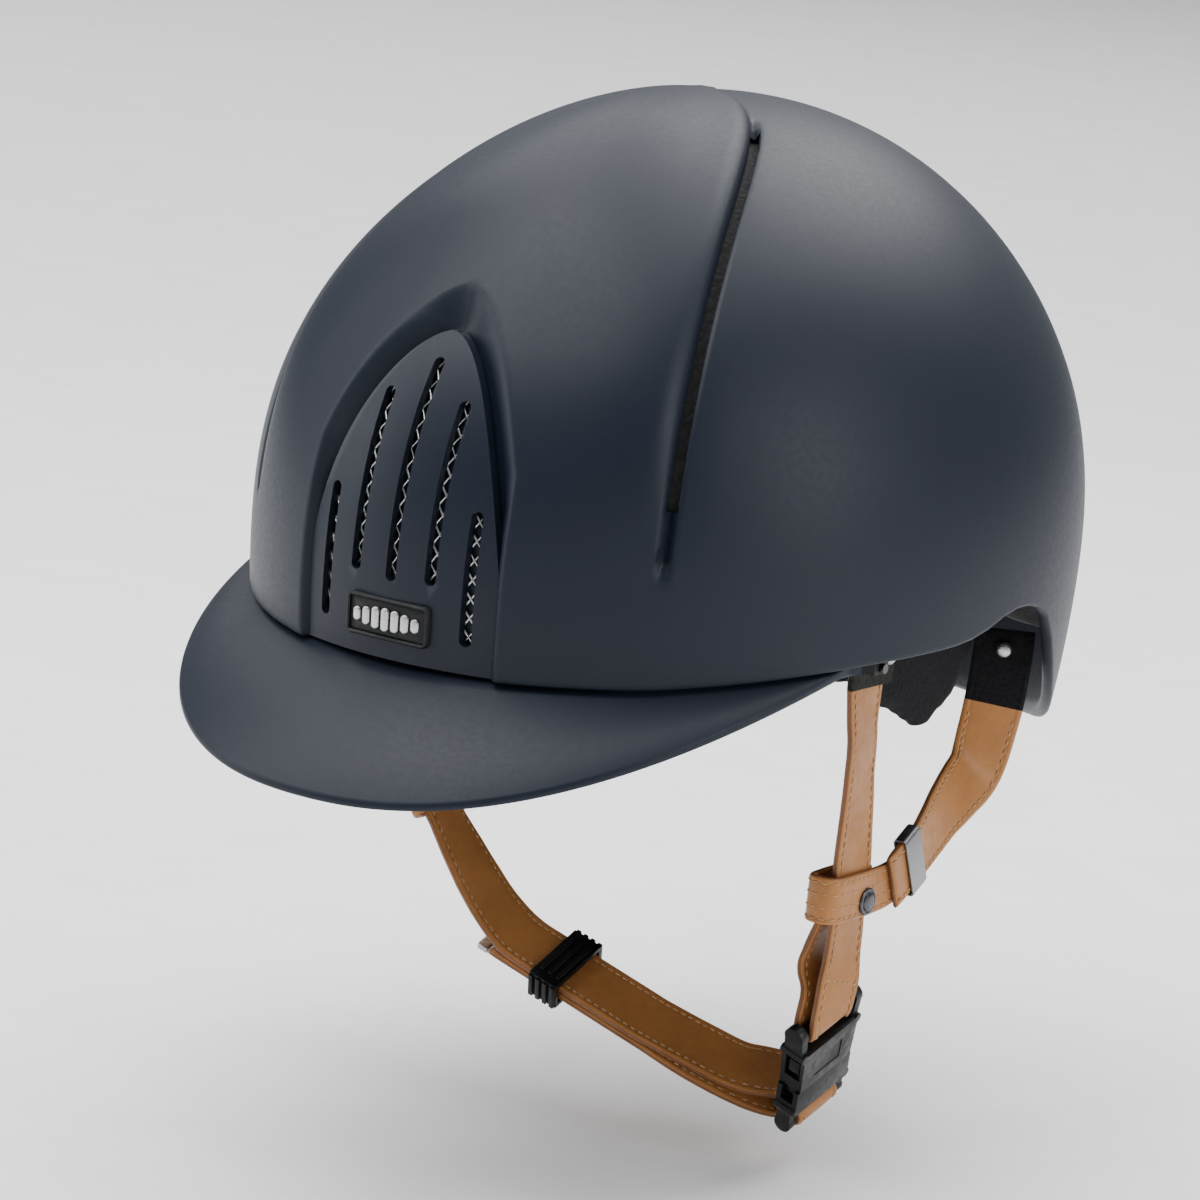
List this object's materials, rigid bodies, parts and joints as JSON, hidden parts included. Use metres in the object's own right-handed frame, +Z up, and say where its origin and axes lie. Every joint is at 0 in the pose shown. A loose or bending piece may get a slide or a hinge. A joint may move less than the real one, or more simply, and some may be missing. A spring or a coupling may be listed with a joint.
{
  "type": "equestrian riding helmet",
  "caption": "Riding helmet with a peaked visor, slotted vent panels, a foam and fabric liner, and a leather harness with dividers, a side-release buckle and a sliding keeper.",
  "frame": {"origin": "centre of the head opening, level with the front rim, where the wearer's head carries the helmet", "axes": "-Y is the front where the visor points, +X is the wearer's left with the buckle, +Z is up through the crown"},
  "size_m": [0.2234, 0.3035, 0.2887],
  "materials": {
    "shell_paint": "satin navy lacquer",
    "black_plastic": "matte",
    "buckle_plastic": "fine moulded grain",
    "steel": "brushed",
    "liner_foam": "expanded foam",
    "liner_fabric": "brushed wicking knit",
    "tab_webbing": "woven webbing",
    "tan_leather": "smooth, stitched along both edges"
  },
  "bodies": {
    "helmet": {"outer_shell": "shell_paint", "visor": "shell_paint", "visor_end_blocks": "black_plastic", "visor_screws": "steel", "front_grille": "shell_paint", "front_mesh": "steel", "badge_frame": "black_plastic", "badge_plate": "steel", "rear_grille": "shell_paint", "rear_mesh": "steel", "foam_liner": "liner_foam", "crown_pad": "liner_fabric", "brow_pad": "liner_fabric", "nape_pad": "liner_fabric", "ear_flap_left": "liner_fabric", "ear_flap_right": "liner_fabric", "hook_dots": "black_plastic", "strap_tab_left": "tab_webbing", "strap_tab_right": "tab_webbing", "anchor_rivets": "steel", "rear_strap_left": "tan_leather", "rear_strap_right": "tan_leather"},
    "harness": {"cheek_strap_left": "tan_leather", "chin_strap": "tan_leather", "divider_left": "tan_leather", "divider_right": "tan_leather", "divider_snap_left": "black_plastic", "divider_snap_right": "black_plastic", "divider_clip_left": "steel", "divider_clip_right": "steel", "buckle_socket": "buckle_plastic", "strap_tail_tip": "steel"},
    "plug": {"buckle_plug": "buckle_plastic"},
    "front_prong": {"prong_front": "buckle_plastic"},
    "rear_prong": {"prong_rear": "buckle_plastic"},
    "keeper": {"strap_keeper": "buckle_plastic"}
  },
  "joints": [
    {"name": "harness_swing", "type": "hinge", "parent": "helmet", "child": "harness", "pos_m": [0, -0.0305, 0.01], "axis": [1, 0, 0], "range_deg": [-10, 10], "deforming": ["rear_strap_left", "rear_strap_right"]},
    {"name": "buckle_release", "type": "slide", "parent": "harness", "child": "plug", "axis": [-0.282, 0.4069, -0.8689], "range_m": [0, 0.03], "deforming": ["chin_strap"]},
    {"name": "prong_squeeze_front", "type": "hinge", "parent": "plug", "child": "front_prong", "pos_m": [0.07774, -0.03445, -0.11891], "axis": [0.9511, 0, -0.309], "range_deg": [-7, 0], "stiffness_Nm_per_rad": 0.02},
    {"name": "prong_squeeze_rear", "type": "hinge", "parent": "plug", "child": "rear_prong", "pos_m": [0.07973, -0.02001, -0.1128], "axis": [0.9511, 0, -0.309], "range_deg": [0, 7], "stiffness_Nm_per_rad": 0.02},
    {"name": "keeper_slide", "type": "slide", "parent": "harness", "child": "keeper", "axis": [0.9574, 0.0287, -0.2872], "range_m": [-0.012, 0.014]}
  ],
  "couplings": [
    {"joint": "prong_squeeze_rear", "follows": "prong_squeeze_front", "ratio": -1}
  ]
}
